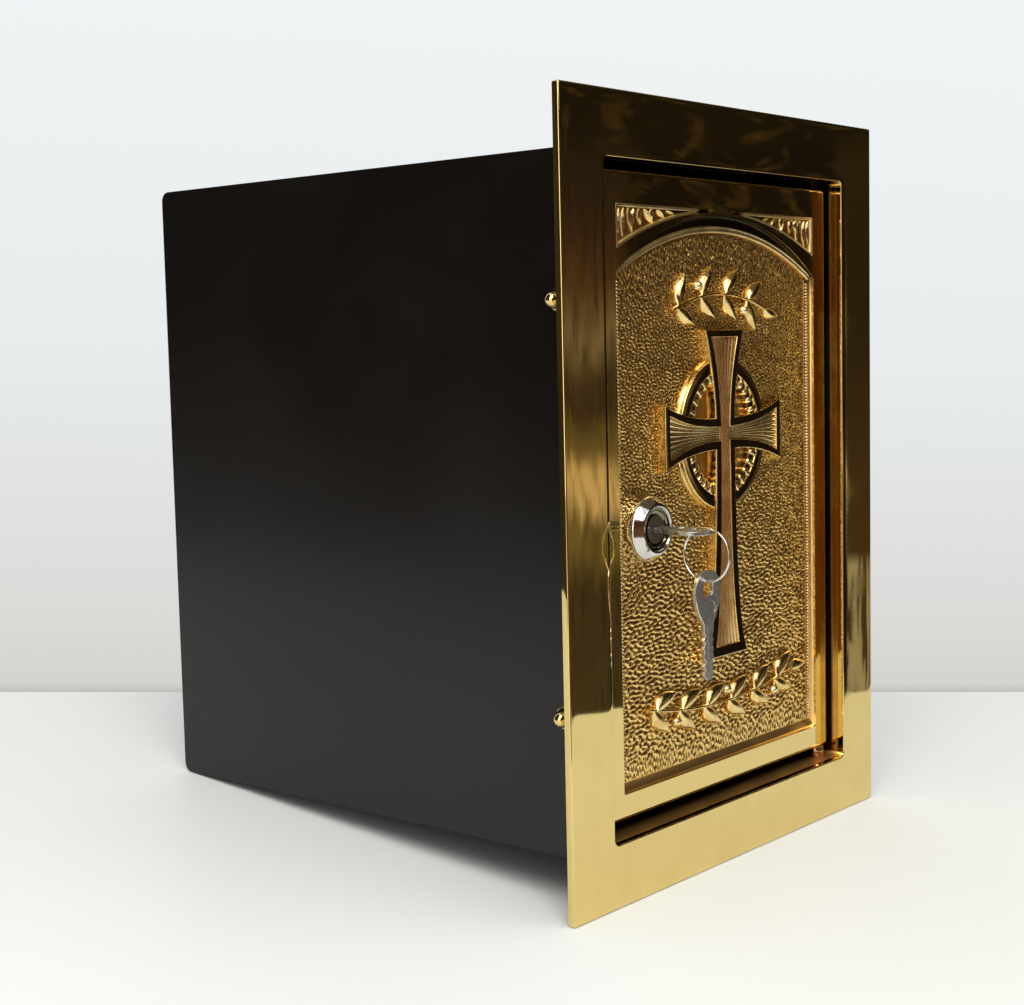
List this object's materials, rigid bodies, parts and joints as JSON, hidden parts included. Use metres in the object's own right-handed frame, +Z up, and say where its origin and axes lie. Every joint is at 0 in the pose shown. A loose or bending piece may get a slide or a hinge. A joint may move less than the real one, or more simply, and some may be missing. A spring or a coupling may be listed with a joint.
{
  "type": "ambry",
  "caption": "Wall ambry: folded steel box behind a brass face plate, closed by a hinged cast door with a cross in relief, a cam lock and keys on a ring.",
  "frame": {"origin": "centre of the face plate's back face, which lies against the wall round the recess", "axes": "+X to the right seen from the front, +Y into the wall, +Z up"},
  "size_m": [0.222, 0.2665, 0.305],
  "materials": {
    "polished_brass": "mirror polished",
    "cast_brass": "cast, polished border and toned field",
    "copper_brass": "turned",
    "box_paint": "dark satin paint",
    "chrome": "bright chrome",
    "zinc_steel": "zinc plated",
    "key_nickel": "nickel plated, stamped",
    "ring_wire": "bright spring wire"
  },
  "bodies": {
    "root": {"faceplate": "polished_brass", "opening_collar": "polished_brass", "box_wrap": "box_paint", "box_side_left": "box_paint", "box_side_right": "box_paint", "box_stud_lower_left": "polished_brass", "box_stud_upper_left": "polished_brass", "box_stud_lower_right": "polished_brass", "box_stud_upper_right": "polished_brass", "cap_nut_lower_left": "polished_brass", "cap_nut_upper_left": "polished_brass", "cap_nut_lower_right": "polished_brass", "cap_nut_upper_right": "polished_brass", "door_stop": "polished_brass", "pivot_pin_upper": "copper_brass", "pivot_pin_lower": "copper_brass", "pivot_bush_lower": "copper_brass"},
    "door": {"door_casting": "cast_brass", "lock_body": "chrome", "lock_washer": "zinc_steel", "lock_nut": "zinc_steel"},
    "lock_plug": {"lock_plug": "chrome", "lock_cam": "zinc_steel", "cam_screw": "zinc_steel"},
    "key": {"key_inserted": "key_nickel"},
    "key_ring": {"key_ring": "ring_wire"},
    "spare_key": {"key_spare": "key_nickel"}
  },
  "joints": [
    {"name": "door_hinge", "type": "hinge", "parent": "root", "child": "door", "pos_m": [0.0794, 0.008, 0], "axis": [0, 0, 1], "range_deg": [0, 100]},
    {"name": "lock_turn", "type": "hinge", "parent": "door", "child": "lock_plug", "pos_m": [-0.0515, 0.011, -0.0115], "axis": [0, 1, 0], "range_deg": [0, 90]},
    {"name": "key_slide", "type": "slide", "parent": "lock_plug", "child": "key", "axis": [0, -1, 0], "range_m": [0, 0.0215]},
    {"name": "ring_swing", "type": "hinge", "parent": "key", "child": "key_ring", "pos_m": [-0.0515, -0.0223, -0.0099], "axis": [0, 1, 0], "range_deg": [-30, 30]},
    {"name": "spare_key_swing", "type": "hinge", "parent": "key_ring", "child": "spare_key", "pos_m": [-0.0515, -0.0223, -0.0303], "axis": [0, 1, 0], "range_deg": [-60, 60]}
  ]
}
